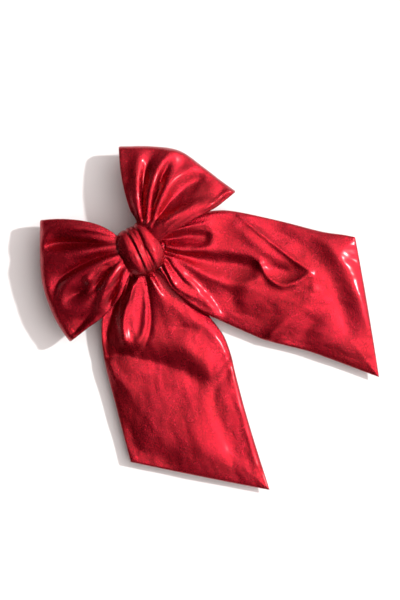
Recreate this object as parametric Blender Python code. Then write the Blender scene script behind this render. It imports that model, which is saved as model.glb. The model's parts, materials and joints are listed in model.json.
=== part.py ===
"""Large hair bow of turned leatherette strip, wrapped onto a sprung steel barrette.

+X runs to the wearer's side, +Y up the bow, +Z out of its front. The origin is the
middle of the clasp arm's flat underside, which lies against the hair.
"""

import math

import bmesh
import bpy
from mathutils import Vector
from mathutils.bvhtree import BVHTree

MM = 0.001

# Clearances
GAP = 0.3 * MM
RUNNING_GAP = 0.1 * MM

# Cloth
LAYER = 0.7 * MM
LAYER_PITCH = 1.6 * MM

# Clip
CLIP_LENGTH = 80.0 * MM
PLATE_WIDTH = 9.0 * MM
PLATE_THICK = 0.9 * MM
PLATE_END_HEIGHT = 9.2 * MM
PLATE_RISE = 1.6 * MM
PAD_INSET = 14.0 * MM
PAD_THICK = 1.2 * MM
PAD_TOP = PLATE_END_HEIGHT + PLATE_RISE + PLATE_THICK + GAP + PAD_THICK
ARM_WIDTH = 6.4 * MM
ARM_TONGUE_WIDTH = 5.0 * MM
ARM_HEIGHT = 2.2 * MM
ARM_WEB = 0.9 * MM
ARM_WALL = 0.8 * MM
ARM_LUG_WIDTH = 5.2 * MM
PIN_RADIUS = 0.8 * MM
PIN_FROM_END = 3.0 * MM
PIN_HEIGHT = 3.4 * MM
LUG_RADIUS = 1.9 * MM
EAR_THICK = 0.8 * MM
BAR_WIDTH = 5.0 * MM
BAR_THICK = 0.5 * MM
BAR_FIXED_X = 10.0 * MM - CLIP_LENGTH / 2
BAR_TAIL = 2.5 * MM
BAR_FREE_X = CLIP_LENGTH / 2 - 13.0 * MM
BAR_MIDDLE_HEIGHT = 6.7 * MM
BAR_FREE_HEIGHT = 7.3 * MM
RIVET_RADIUS = 0.8 * MM
RIVET_HEAD_RADIUS = 1.6 * MM
RIVET_HEAD = 0.5 * MM
CATCH_X = CLIP_LENGTH / 2 - 4.0 * MM
CATCH_LENGTH = 6.0 * MM
CATCH_THICK = 0.6 * MM
CATCH_HALF_WIDTH = 3.6 * MM
CATCH_EAR_Y = 4.3 * MM
CATCH_EAR_LENGTH = 5.0 * MM
CATCH_EAR_FOOT = 1.0 * MM
CATCH_TAB_REACH = 2.6 * MM
CATCH_HOOK_REACH = 0.7 * MM
SEWING_HOLE_INSET = (17.0 * MM, 23.0 * MM)
SEWING_HOLE_Y = 3.3 * MM
SEWING_HOLE_RADIUS = 0.7 * MM
STITCH_RADIUS = 0.3 * MM

# Waist, where all the cloth is gathered
WAIST_Y = -2.0 * MM
WAIST_DEPTH = 16.8 * MM
WAIST_CROWN = 6.0 * MM
THREAD_BAND = 5.0 * MM
THREAD_THICK = 0.8 * MM
THREAD_HALF_Y = 14.0 * MM
WAIST_LOW = PAD_TOP + GAP + THREAD_THICK + GAP
WAIST_TOP = WAIST_LOW + WAIST_DEPTH

# Tails
TAIL_ANGLE = math.radians(30.0)
TAIL_START = 2.0 * MM
TAIL_OUTER_LENGTH = 143.0 * MM
TAIL_INNER_LENGTH = 184.0 * MM
TAIL_WIDTH = 89.0 * MM
TAIL_NECK = 16.0 * MM
TAIL_NECK_SHIFT = 4.6 * MM
TAIL_OUTER_FLARE = (6.0 * MM, 60.0 * MM)
TAIL_INNER_FLARE = (20.0 * MM, 130.0 * MM)
TAIL_DROP = (24.0 * MM, 78.0 * MM)
TAIL_PUFF = 8.0 * MM
TAIL_OVERLAP_CLEARANCE = 1.4 * MM

# Loops
LOOP_TILT = math.radians(22.0)
LOOP_START = 4.0 * MM
LOOP_REACH = 61.0 * MM
LOOP_BULGE = 11.0 * MM
LOOP_WIDTH = 86.0 * MM
LOOP_NECK = 16.0 * MM
LOOP_FLARE_START = 12.0 * MM
LOOP_FLARE_SHAPE = {"right": 0.9, "left": 0.65}
LOOP_BEND_RADIUS = 6.5 * MM
LOOP_BEND_HEIGHT = WAIST_LOW + 4.6 * MM
LOOP_PUFF = 5.5 * MM
LOOP_PUFF_START = 18.0 * MM
LOOP_OVER_TAIL_CLEARANCE = 1.6 * MM

# Knot wrap
KNOT_WIDTH = 31.0 * MM
KNOT_LEG_WIDTH = 8.0 * MM
KNOT_HALF_Y = 18.0 * MM
KNOT_CROWN = 6.0 * MM
KNOT_MIDDLE = (WAIST_LOW + WAIST_TOP) / 2
KNOT_FRONT_WALL = 3.2 * MM
KNOT_BACK_WALL = 0.8 * MM

ROUND_SIDES = 20


# Materials

def make_material(name, colour, roughness, metallic):
    material = bpy.data.materials.new(name)
    material.use_nodes = True
    shader = material.node_tree.nodes["Principled BSDF"]
    shader.inputs["Base Color"].default_value = (*colour, 1.0)
    shader.inputs["Roughness"].default_value = roughness
    shader.inputs["Metallic"].default_value = metallic
    return material


def make_materials():
    return {
        "leatherette": make_material("red_metallic_leatherette", (0.50, 0.008, 0.03), 0.38, 0.6),
        "lining": make_material("red_lining_side", (0.42, 0.007, 0.025), 0.42, 0.6),
        "wrap": make_material("red_metallic_wrap", (0.52, 0.009, 0.03), 0.35, 0.6),
        "thread": make_material("red_sewing_thread", (0.35, 0.01, 0.02), 0.8, 0.0),
        "felt": make_material("red_felt", (0.30, 0.01, 0.02), 0.95, 0.0),
        "steel": make_material("nickel_plated_steel", (0.62, 0.60, 0.57), 0.28, 1.0),
        "spring": make_material("spring_steel", (0.50, 0.50, 0.50), 0.32, 1.0),
    }


# Mesh helpers

def link_mesh(name, work, material, pivot=None):
    """Makes an object from a bmesh, with its origin at the pivot."""
    if pivot is not None:
        bmesh.ops.translate(work, verts=work.verts, vec=-Vector(pivot))
    mesh = bpy.data.meshes.new(name)
    work.to_mesh(mesh)
    work.free()
    obj = bpy.data.objects.new(name, mesh)
    bpy.context.scene.collection.objects.link(obj)
    if pivot is not None:
        obj.location = pivot
    if material is not None:
        mesh.materials.append(material)
    return obj


def loft(sections, cyclic=False):
    """Joins loops of points into one closed surface, capped unless it runs round."""
    work = bmesh.new()
    rings = [[work.verts.new(point) for point in section] for section in sections]
    pairs = list(zip(rings, rings[1:]))
    if cyclic:
        pairs.append((rings[-1], rings[0]))
    for first, second in pairs:
        for i in range(len(first)):
            j = (i + 1) % len(first)
            work.faces.new((first[i], first[j], second[j], second[i]))
    if not cyclic:
        work.faces.new(rings[0])
        work.faces.new(reversed(rings[-1]))
    bmesh.ops.recalc_face_normals(work, faces=work.faces)
    return work


def circle(centre, radius, axis):
    """Points of a circle round a centre, square to the named axis."""
    points = []
    for i in range(ROUND_SIDES):
        turn = 2 * math.pi * i / ROUND_SIDES
        first = radius * math.cos(turn)
        second = radius * math.sin(turn)
        offset = {
            "X": Vector((0, first, second)),
            "Y": Vector((second, 0, first)),
            "Z": Vector((first, second, 0)),
        }[axis]
        points.append(Vector(centre) + offset)
    return points


def box(low, high):
    sections = []
    for x in (low[0], high[0]):
        sections.append([
            (x, low[1], low[2]),
            (x, high[1], low[2]),
            (x, high[1], high[2]),
            (x, low[1], high[2]),
        ])
    return loft(sections)


def smooth(obj, degrees=40.0):
    obj.data.shade_smooth()
    obj.data.set_sharp_from_angle(angle=math.radians(degrees))


def combine(obj, tool, operation):
    """Cuts or joins with a hidden helper object."""
    tool.hide_render = True
    tool.display_type = "WIRE"
    step = obj.modifiers.new(operation.lower() + "_" + tool.name, "BOOLEAN")
    step.operation = operation
    step.object = tool
    step.solver = "EXACT"


def soften(obj, width):
    edge = obj.modifiers.new("softened_edges", "BEVEL")
    edge.width = width
    edge.segments = 2
    edge.limit_method = "ANGLE"


def sheet(name, rows, material):
    """A layer of cloth through a grid of points."""
    work = bmesh.new()
    grid = [[work.verts.new(point) for point in row] for row in rows]
    for near, far in zip(grid, grid[1:]):
        for i in range(len(near) - 1):
            work.faces.new((near[i], near[i + 1], far[i + 1], far[i]))
    bmesh.ops.recalc_face_normals(work, faces=work.faces)
    obj = link_mesh(name, work, material)
    thickness = obj.modifiers.new("cloth_thickness", "SOLIDIFY")
    thickness.thickness = LAYER
    thickness.offset = 0.0
    smooth(obj, 60.0)
    return obj


# Curves that the cloth follows

def share(value, start, end):
    """Goes evenly from 0 at start to 1 at end."""
    return min(1.0, max(0.0, (value - start) / (end - start)))


def ease(value, start, end):
    """Goes smoothly from 0 at start to 1 at end."""
    t = share(value, start, end)
    return t * t * (3.0 - 2.0 * t)


def spread(value, start, end):
    """Goes from 0 at start to 1 at end, steepest at the start."""
    return math.sin(0.5 * math.pi * share(value, start, end))


def mix(first, second, part):
    return first + (second - first) * part


def surface_of(objects):
    """The evaluated faces of some objects, for rays."""
    graph = bpy.context.evaluated_depsgraph_get()
    points = []
    faces = []
    for obj in objects:
        evaluated = obj.evaluated_get(graph)
        mesh = evaluated.to_mesh()
        start = len(points)
        points += [evaluated.matrix_world @ vertex.co for vertex in mesh.vertices]
        faces += [[start + index for index in face.vertices] for face in mesh.polygons]
        evaluated.to_mesh_clear()
    return BVHTree.FromPolygons(points, faces)


def lay_over(rows, objects, clearance, reach):
    """Lifts points so that the cloth lies over what is below it."""
    bpy.context.view_layer.update()
    below = surface_of(objects)
    lifted = []
    for row in rows:
        new_row = []
        for point in row:
            height = point.z
            for dx in (-reach, 0.0, reach):
                for dy in (-reach, 0.0, reach):
                    start = Vector((point.x + dx, point.y + dy, 1.0))
                    hit = below.ray_cast(start, Vector((0, 0, -1)))[0]
                    if hit is not None:
                        height = max(height, hit.z + clearance)
            new_row.append(Vector((point.x, point.y, height)))
        lifted.append(new_row)
    return lifted


def stack_on(rows, lower_rows, pitch):
    """Keeps each point at least a pitch above its partner in the layer below."""
    return [
        [Vector((p.x, p.y, max(p.z, q.z + pitch))) for p, q in zip(row, lower)]
        for row, lower in zip(rows, lower_rows)
    ]


# Tails

def tail_rows(side, neck_height, puffed):
    """Points of a tail layer, from the waist out and from its outer to its inner edge."""
    steps_along = 18
    steps_across = 9
    rows = []
    for i in range(steps_along + 1):
        row = []
        for j in range(steps_across + 1):
            across = j / steps_across
            length = mix(TAIL_OUTER_LENGTH, TAIL_INNER_LENGTH, across)
            along = mix(TAIL_START, length, (i / steps_along) ** 1.35)
            outer_neck = TAIL_NECK_SHIFT + TAIL_NECK / 2
            inner_neck = TAIL_NECK_SHIFT - TAIL_NECK / 2
            outer = mix(outer_neck, TAIL_WIDTH / 2, spread(along, *TAIL_OUTER_FLARE))
            inner = mix(inner_neck, -TAIL_WIDTH / 2, share(along, *TAIL_INNER_FLARE) ** 0.5)
            offset = mix(outer, inner, across)
            x = along * math.sin(TAIL_ANGLE) + offset * math.cos(TAIL_ANGLE)
            y = -along * math.cos(TAIL_ANGLE) + offset * math.sin(TAIL_ANGLE)
            z = mix(neck_height, LAYER / 2, ease(along, *TAIL_DROP))
            if puffed:
                swell = ease(along, TAIL_INNER_FLARE[0], TAIL_OUTER_FLARE[1])
                swell *= 1.0 - 0.55 * ease(along, 0.5 * length, length)
                swell *= 1.0 - (i / steps_along) ** 8
                z += TAIL_PUFF * swell * math.sin(math.pi * across) ** 0.8
            row.append(Vector((side * x, y, z)))
        rows.append(row)
    return rows


def make_tails(materials):
    left_back = tail_rows(-1, WAIST_LOW + LAYER / 2, False)
    left_front = tail_rows(-1, WAIST_LOW + LAYER / 2 + LAYER_PITCH, True)
    left_front = stack_on(left_front, left_back, LAYER_PITCH)
    left = [
        sheet("left_tail_back", left_back, materials["leatherette"]),
        sheet("left_tail_front", left_front, materials["leatherette"]),
    ]
    reach = TAIL_WIDTH / 9
    right_back = tail_rows(1, WAIST_LOW + LAYER / 2 + 2 * LAYER_PITCH, False)
    right_back = lay_over(right_back, left, TAIL_OVERLAP_CLEARANCE, reach)
    right_front = tail_rows(1, WAIST_LOW + LAYER / 2 + 3 * LAYER_PITCH, True)
    right_front = stack_on(right_front, right_back, LAYER_PITCH)
    right = [
        sheet("right_tail_back", right_back, materials["leatherette"]),
        sheet("right_tail_front", right_front, materials["leatherette"]),
    ]
    return left + right


# Loops

def loop_half_width(along, flare_shape):
    flare = share(along, LOOP_FLARE_START, LOOP_REACH) ** flare_shape
    return mix(LOOP_NECK / 2, LOOP_WIDTH / 2, flare)


def loop_section(across, inset):
    """One thread of a loop: out along its back, round the bend and in along its front."""
    legs = 9
    bend = 6
    crown = (2.0 * across - 1.0) ** 2
    low_neck = WAIST_LOW + LAYER / 2 + 4 * LAYER_PITCH + inset
    top_neck = WAIST_TOP - LAYER / 2 - WAIST_CROWN * crown - inset
    radius = LOOP_BEND_RADIUS - inset
    bend_start = LOOP_REACH + LOOP_BULGE * (1.0 - crown) - LOOP_BEND_RADIUS
    points = []
    for i in range(legs):
        along = mix(LOOP_START, bend_start, i / legs)
        height = mix(low_neck, LOOP_BEND_HEIGHT - radius, ease(along, LOOP_PUFF_START, bend_start))
        points.append((along, height))
    for i in range(bend + 1):
        turn = math.pi * i / bend
        along = bend_start + radius * math.sin(turn)
        points.append((along, LOOP_BEND_HEIGHT - radius * math.cos(turn)))
    for i in range(legs - 1, -1, -1):
        along = mix(LOOP_START, bend_start, i / legs)
        height = mix(top_neck, LOOP_BEND_HEIGHT + radius, ease(along, LOOP_PUFF_START, bend_start))
        height += LOOP_PUFF * math.sin(math.pi * share(along, LOOP_PUFF_START, bend_start))
        points.append((along, height))
    return points


def loop_rows(side_name, inset):
    side = {"right": 1, "left": -1}[side_name]
    steps_across = 8
    sections = [loop_section(j / steps_across, inset) for j in range(steps_across + 1)]
    rows = []
    for i in range(len(sections[0])):
        row = []
        for j, section in enumerate(sections):
            along, z = section[i]
            half_width = loop_half_width(along, LOOP_FLARE_SHAPE[side_name])
            offset = half_width * (2.0 * j / steps_across - 1.0)
            x = along * math.cos(LOOP_TILT) - offset * math.sin(LOOP_TILT)
            y = along * math.sin(LOOP_TILT) + offset * math.cos(LOOP_TILT) + WAIST_Y / 2
            row.append(Vector((side * x, y, z)))
        rows.append(row)
    return rows


def make_loop(side_name, tails, materials):
    outer = loop_rows(side_name, 0.0)
    back_rows = len(outer) // 2 + 1
    reach = LOOP_WIDTH / 12
    lifted = lay_over(outer[:back_rows], tails, LOOP_OVER_TAIL_CLEARANCE, reach)
    outer = lifted + outer[back_rows:]
    lining = loop_rows(side_name, LAYER_PITCH)
    lining = stack_on(lining[:back_rows], outer[:back_rows], LAYER_PITCH) + lining[back_rows:]
    sheet(side_name + "_loop_outer", outer, materials["leatherette"])
    sheet(side_name + "_loop_lining", lining, materials["lining"])


# Knot and what it holds

def knot_section(turn):
    """Cross-section of the wrap where it has turned this far from the front."""
    sine = math.sin(turn)
    cosine = math.cos(turn)
    front = cosine > 0.0
    square = 2.5 if front else 4.0
    scale = (abs(sine) ** square + abs(cosine) ** square) ** (-1.0 / square)
    half_height = WAIST_TOP + KNOT_CROWN - KNOT_MIDDLE
    if not front:
        plate_low = PLATE_END_HEIGHT + PLATE_RISE
        half_height = KNOT_MIDDLE - (plate_low - GAP - KNOT_BACK_WALL)
    wall = mix(KNOT_BACK_WALL, KNOT_FRONT_WALL, ease(cosine, -0.3, 0.8))
    half_width = mix(KNOT_LEG_WIDTH, KNOT_WIDTH, ease(cosine, 0.25, 0.95)) / 2
    middle_y = mix(0.0, WAIST_Y, ease(cosine, -1.0, 1.0))
    outward = Vector((0.0, sine * KNOT_HALF_Y * scale, cosine * half_height * scale))
    inward = Vector((
        0.0,
        sine * (KNOT_HALF_Y - wall) * scale,
        cosine * (half_height - wall) * scale,
    ))
    centre = Vector((0.0, middle_y, KNOT_MIDDLE))
    edge = mix(inward, outward, 0.6)
    return [
        centre + inward + Vector((-half_width, 0, 0)),
        centre + edge + Vector((-half_width, 0, 0)),
        centre + outward + Vector((-0.6 * half_width, 0, 0)),
        centre + outward + Vector((0.6 * half_width, 0, 0)),
        centre + edge + Vector((half_width, 0, 0)),
        centre + inward + Vector((half_width, 0, 0)),
    ]


def make_knot(materials):
    steps = 36
    sections = [knot_section(2.0 * math.pi * i / steps) for i in range(steps)]
    knot = link_mesh("knot_wrap", loft(sections, cyclic=True), materials["wrap"])
    smooth(knot, 50.0)


def make_gather_thread(materials):
    """The thread that is wound round the gathered waist, as one flat band."""
    steps = 24
    low = WAIST_LOW - GAP - THREAD_THICK
    high = WAIST_TOP + GAP + THREAD_THICK
    sections = []
    for i in range(steps):
        turn = 2.0 * math.pi * i / steps
        sine = math.sin(turn)
        cosine = math.cos(turn)
        square = 2.5 if cosine > 0.0 else 12.0
        scale = (abs(sine) ** square + abs(cosine) ** square) ** (-1.0 / square)
        section = []
        for thickness, x in ((0, -1), (1, -1), (1, 1), (0, 1)):
            inset = THREAD_THICK * (1 - thickness)
            y = WAIST_Y + sine * (THREAD_HALF_Y - inset) * scale
            z = (low + high) / 2 + cosine * ((high - low) / 2 - inset) * scale
            section.append(Vector((x * THREAD_BAND / 2, y, z)))
        sections.append(section)
    thread = link_mesh("gather_thread", loft(sections, cyclic=True), materials["thread"])
    smooth(thread, 50.0)


# Clip

def plate_underside(x):
    return PLATE_END_HEIGHT + PLATE_RISE * (1.0 - (2.0 * x / CLIP_LENGTH) ** 2)


def arched_strip(x_from, x_to, width, thickness, lift):
    """A flat strip that follows the base plate's arch, a lift above its underside."""
    steps = 16
    sections = []
    for i in range(steps + 1):
        x = mix(x_from, x_to, i / steps)
        end = abs(2.0 * i / steps - 1.0)
        half = width / 2 * (1.0 if end < 0.95 else 0.72)
        low = plate_underside(x) + lift
        sections.append([
            (x, -half, low),
            (x, half, low),
            (x, half, low + thickness),
            (x, -half, low + thickness),
        ])
    return loft(sections)


def cylinder(name, start, end, radius, axis):
    """A hidden helper cylinder."""
    return link_mesh(name, loft([circle(start, radius, axis), circle(end, radius, axis)]), None)


def sewing_holes():
    """Places of the sewing holes, along and across the clip."""
    outer, inner = (CLIP_LENGTH / 2 - inset for inset in SEWING_HOLE_INSET)
    return [(-outer, -1), (-inner, 1), (inner, -1), (outer, 1)]


def cut_sewing_holes(obj):
    for i, (x, side) in enumerate(sewing_holes()):
        start = (x, side * SEWING_HOLE_Y, 0.0)
        end = (x, side * SEWING_HOLE_Y, 2 * WAIST_LOW)
        name = obj.name + "_sewing_hole_" + str(i + 1)
        combine(obj, cylinder(name, start, end, SEWING_HOLE_RADIUS, "Z"), "DIFFERENCE")


def pin_x():
    return -CLIP_LENGTH / 2 + PIN_FROM_END


def make_base_plate(materials):
    half = CLIP_LENGTH / 2
    work = arched_strip(-half, half, PLATE_WIDTH, PLATE_THICK, 0.0)
    plate = link_mesh("clip_base_plate", work, materials["steel"])
    soften(plate, 0.15 * MM)
    for side, word in ((-1, "lower"), (1, "upper")):
        near = side * (ARM_LUG_WIDTH / 2 + GAP)
        far = near + side * EAR_THICK
        foot = PIN_HEIGHT - LUG_RADIUS
        work = box(
            (pin_x() - LUG_RADIUS, min(near, far), foot),
            (pin_x() + LUG_RADIUS, max(near, far), plate_underside(pin_x()) + PLATE_THICK / 2),
        )
        combine(plate, link_mesh("hinge_ear_" + word, work, None), "UNION")
    start = (pin_x(), -PLATE_WIDTH, PIN_HEIGHT)
    end = (pin_x(), PLATE_WIDTH, PIN_HEIGHT)
    bore = cylinder("plate_pin_bore", start, end, PIN_RADIUS + RUNNING_GAP, "Y")
    combine(plate, bore, "DIFFERENCE")
    for name, x in (("bar_rivet_hole", BAR_FIXED_X), ("catch_rivet_hole", CATCH_X)):
        hole = cylinder(name, (x, 0, 0), (x, 0, WAIST_LOW), RIVET_RADIUS + GAP, "Z")
        combine(plate, hole, "DIFFERENCE")
    cut_sewing_holes(plate)


def make_hinge_pin(materials):
    reach = ARM_LUG_WIDTH / 2 + GAP + EAR_THICK + 0.5 * MM
    shoulder = reach - 0.3 * MM
    tip = PIN_RADIUS - 0.3 * MM
    sections = []
    for y, radius in ((-reach, tip), (-shoulder, PIN_RADIUS), (shoulder, PIN_RADIUS), (reach, tip)):
        sections.append(circle((pin_x(), y, PIN_HEIGHT), radius, "Y"))
    pin = link_mesh("clip_hinge_pin", loft(sections), materials["steel"])
    smooth(pin)


def arm_side_outline():
    """The arm from the side: a flat bar with a round-topped lug at the pin."""
    tip = CLIP_LENGTH / 2 - 1.0 * MM
    back = pin_x() - LUG_RADIUS
    front = pin_x() + LUG_RADIUS
    outline = [(back, 0.0), (tip, 0.0), (tip, ARM_HEIGHT), (front, ARM_HEIGHT)]
    turns = 10
    for i in range(turns + 1):
        turn = math.pi * i / turns
        x = pin_x() + LUG_RADIUS * math.cos(turn)
        outline.append((x, PIN_HEIGHT + LUG_RADIUS * math.sin(turn)))
    return outline


def arm_top_outline():
    """The arm from above: narrow at the pin and at the tongue, with a round tip."""
    tip = CLIP_LENGTH / 2 - 1.0 * MM
    back = pin_x() - 2 * LUG_RADIUS
    shoulder = pin_x() + LUG_RADIUS + 1.2 * MM
    tongue = CATCH_X - CATCH_LENGTH
    half = ARM_WIDTH / 2
    lug = ARM_LUG_WIDTH / 2
    narrow = ARM_TONGUE_WIDTH / 2
    outline = [(back, -lug), (shoulder, -lug), (shoulder + 1.0 * MM, -half)]
    outline += [(tongue - 2.0 * MM, -half), (tongue, -narrow)]
    turns = 8
    for i in range(turns + 1):
        turn = math.pi * (i / turns - 0.5)
        x = tip - narrow + narrow * math.cos(turn)
        outline.append((x, narrow * math.sin(turn)))
    outline += [(tongue, narrow), (tongue - 2.0 * MM, half)]
    outline += [(shoulder + 1.0 * MM, half), (shoulder, lug), (back, lug)]
    return outline


def make_clasp_arm(materials):
    pivot = Vector((pin_x(), 0.0, PIN_HEIGHT))
    side = arm_side_outline()
    sections = [[(x, y, z) for x, z in side] for y in (-ARM_WIDTH / 2, ARM_WIDTH / 2)]
    arm = link_mesh("clip_clasp_arm", loft(sections), materials["steel"], pivot)
    top = arm_top_outline()
    sections = [[(x, y, z) for x, y in top] for z in (-ARM_HEIGHT, 4 * ARM_HEIGHT)]
    combine(arm, link_mesh("arm_plan", loft(sections), None), "INTERSECT")
    channel_start = pin_x() + LUG_RADIUS + 3.0 * MM
    channel_end = CATCH_X - CATCH_LENGTH - 3.0 * MM
    half = ARM_WIDTH / 2 - ARM_WALL
    channel = box((channel_start, -half, ARM_WEB), (channel_end, half, 4 * ARM_HEIGHT))
    combine(arm, link_mesh("arm_channel", channel, None), "DIFFERENCE")
    low = (pin_x(), -ARM_WIDTH, PIN_HEIGHT)
    high = (pin_x(), ARM_WIDTH, PIN_HEIGHT)
    bore = cylinder("arm_pin_bore", low, high, PIN_RADIUS + RUNNING_GAP, "Y")
    combine(arm, bore, "DIFFERENCE")


def bar_underside(x):
    """The leaf spring bows away from the plate towards the hair."""
    fixed = plate_underside(BAR_FIXED_X - BAR_TAIL) - GAP - BAR_THICK
    middle = (BAR_FIXED_X + BAR_FREE_X) / 2
    if x < middle:
        return mix(fixed, BAR_MIDDLE_HEIGHT, ease(x, BAR_FIXED_X + 3.0 * MM, middle))
    return mix(BAR_MIDDLE_HEIGHT, BAR_FREE_HEIGHT, ease(x, middle, BAR_FREE_X))


def make_tension_bar(materials):
    pivot = Vector((BAR_FIXED_X, 0.0, bar_underside(BAR_FIXED_X) + BAR_THICK / 2))
    steps = 20
    start = BAR_FIXED_X - BAR_TAIL
    sections = []
    for i in range(steps + 1):
        x = mix(start, BAR_FREE_X, i / steps)
        half = BAR_WIDTH / 2 * mix(1.0, 0.7, ease(x, BAR_FIXED_X, BAR_FREE_X))
        low = bar_underside(x)
        sections.append([
            (x, -half, low),
            (x, half, low),
            (x, half, low + BAR_THICK),
            (x, -half, low + BAR_THICK),
        ])
    bar = link_mesh("clip_tension_bar", loft(sections), materials["spring"], pivot)
    hole = cylinder(
        "bar_hole",
        (BAR_FIXED_X, 0, 0),
        (BAR_FIXED_X, 0, WAIST_LOW),
        RIVET_RADIUS + GAP,
        "Z",
    )
    combine(bar, hole, "DIFFERENCE")


def make_rivet(name, x, held_low, held_high, materials):
    """A rivet whose two heads hold what lies between the two heights."""
    sections = []
    for radius, z in (
        (RIVET_HEAD_RADIUS, held_low - GAP - RIVET_HEAD),
        (RIVET_HEAD_RADIUS, held_low - GAP),
        (RIVET_RADIUS, held_low - GAP),
        (RIVET_RADIUS, held_high + GAP),
        (RIVET_HEAD_RADIUS, held_high + GAP),
        (0.6 * RIVET_HEAD_RADIUS, held_high + GAP + RIVET_HEAD),
    ):
        sections.append(circle((x, 0.0, z), radius, "Z"))
    rivet = link_mesh(name, loft(sections), materials["steel"])
    smooth(rivet)


def catch_top():
    return plate_underside(CATCH_X + CATCH_LENGTH / 2) - GAP


def make_catch_body(materials):
    low = (CATCH_X - CATCH_LENGTH / 2, -CATCH_HALF_WIDTH, catch_top() - CATCH_THICK)
    high = (CATCH_X + CATCH_LENGTH / 2, CATCH_HALF_WIDTH, catch_top())
    body = link_mesh("catch_body", box(low, high), materials["spring"])
    soften(body, 0.12 * MM)
    hole = cylinder("catch_hole", (CATCH_X, 0, 0), (CATCH_X, 0, WAIST_LOW), RIVET_RADIUS + GAP, "Z")
    combine(body, hole, "DIFFERENCE")


def make_catch_ear(name, side, materials):
    """A spring ear beside the arm, with a squeeze tab outside and a hook inside."""
    near = CATCH_EAR_Y - CATCH_THICK / 2
    far = CATCH_EAR_Y + CATCH_THICK / 2
    foot = CATCH_EAR_FOOT
    outline = [
        (near, catch_top()),
        (near, foot + 1.3 * MM),
        (near - CATCH_HOOK_REACH, foot + 0.7 * MM),
        (near - CATCH_HOOK_REACH, foot),
        (far + 0.4 * MM, foot),
        (far + CATCH_TAB_REACH, foot + 1.2 * MM),
        (far + CATCH_TAB_REACH, foot + 1.8 * MM),
        (far, foot + 1.3 * MM),
        (far, catch_top()),
    ]
    half = CATCH_EAR_LENGTH / 2
    sections = []
    for x in (CATCH_X - half, CATCH_X + half):
        sections.append([(x, side * y, z) for y, z in outline])
    pivot = Vector((CATCH_X, side * CATCH_EAR_Y, catch_top() - CATCH_THICK / 2))
    link_mesh(name, loft(sections), materials["spring"], pivot)


def make_backing_pad(materials):
    half = CLIP_LENGTH / 2 - PAD_INSET
    lift = PLATE_THICK + GAP
    pad = link_mesh(
        "backing_pad",
        arched_strip(-half, half, PLATE_WIDTH, PAD_THICK, lift),
        materials["felt"],
    )
    cut_sewing_holes(pad)


def make_stitches(materials):
    """Each stitch is a ring of thread through a sewing hole and round the clip's edge."""
    for i, (x, side) in enumerate(sewing_holes()):
        room = GAP + STITCH_RADIUS
        near = side * SEWING_HOLE_Y
        far = side * (PLATE_WIDTH / 2 + room)
        low = plate_underside(x) - room
        high = plate_underside(x) + PLATE_THICK + GAP + PAD_THICK + room
        name = "pad_stitch_" + str(i + 1)
        curve = bpy.data.curves.new(name, "CURVE")
        curve.dimensions = "3D"
        curve.bevel_depth = STITCH_RADIUS
        curve.bevel_resolution = 2
        line = curve.splines.new("POLY")
        corners = ((near, low), (far, low), (far, high), (near, high))
        line.points.add(len(corners) - 1)
        for point, (y, z) in zip(line.points, corners):
            point.co = (x, y, z, 1.0)
        line.use_cyclic_u = True
        curve.materials.append(materials["thread"])
        stitch = bpy.data.objects.new(name, curve)
        bpy.context.scene.collection.objects.link(stitch)


def make_clip(materials):
    make_base_plate(materials)
    make_hinge_pin(materials)
    make_clasp_arm(materials)
    make_tension_bar(materials)
    bar_low = bar_underside(BAR_FIXED_X)
    bar_high = plate_underside(BAR_FIXED_X + RIVET_HEAD_RADIUS) + PLATE_THICK
    make_rivet("tension_bar_rivet", BAR_FIXED_X, bar_low, bar_high, materials)
    catch_high = plate_underside(CATCH_X - RIVET_HEAD_RADIUS) + PLATE_THICK
    make_rivet("catch_rivet", CATCH_X, catch_top() - CATCH_THICK, catch_high, materials)
    make_catch_body(materials)
    make_catch_ear("catch_ear_upper", 1, materials)
    make_catch_ear("catch_ear_lower", -1, materials)


def main():
    for obj in list(bpy.data.objects):
        bpy.data.objects.remove(obj, do_unlink=True)
    materials = make_materials()
    make_clip(materials)
    make_backing_pad(materials)
    make_stitches(materials)
    tails = make_tails(materials)
    make_loop("right", tails, materials)
    make_loop("left", tails, materials)
    make_gather_thread(materials)
    make_knot(materials)


main()
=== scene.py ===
import json
import math

import bpy
import numpy as np
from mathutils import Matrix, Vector, noise

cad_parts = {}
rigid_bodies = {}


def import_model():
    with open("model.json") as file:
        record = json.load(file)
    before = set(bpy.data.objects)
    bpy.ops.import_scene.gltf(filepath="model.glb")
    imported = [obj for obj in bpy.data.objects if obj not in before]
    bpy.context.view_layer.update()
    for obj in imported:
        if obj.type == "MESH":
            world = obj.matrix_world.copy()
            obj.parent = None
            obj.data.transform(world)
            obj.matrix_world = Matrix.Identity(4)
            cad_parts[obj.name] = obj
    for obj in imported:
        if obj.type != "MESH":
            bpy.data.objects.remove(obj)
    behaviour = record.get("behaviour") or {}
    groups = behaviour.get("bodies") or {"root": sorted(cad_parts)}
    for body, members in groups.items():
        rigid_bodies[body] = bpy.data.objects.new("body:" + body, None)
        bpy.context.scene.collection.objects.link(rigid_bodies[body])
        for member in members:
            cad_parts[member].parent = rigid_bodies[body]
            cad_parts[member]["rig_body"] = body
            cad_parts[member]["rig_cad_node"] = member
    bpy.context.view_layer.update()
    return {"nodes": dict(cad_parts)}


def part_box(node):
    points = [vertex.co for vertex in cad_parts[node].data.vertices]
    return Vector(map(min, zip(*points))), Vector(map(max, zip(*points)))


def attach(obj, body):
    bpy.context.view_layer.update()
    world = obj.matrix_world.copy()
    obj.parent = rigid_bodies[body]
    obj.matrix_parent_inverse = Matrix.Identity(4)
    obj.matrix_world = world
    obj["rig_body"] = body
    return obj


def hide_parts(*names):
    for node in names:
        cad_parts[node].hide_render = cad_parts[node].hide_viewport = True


mm = 0.001
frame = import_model()
nodes = frame["nodes"]
print("frame loaded")


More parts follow.
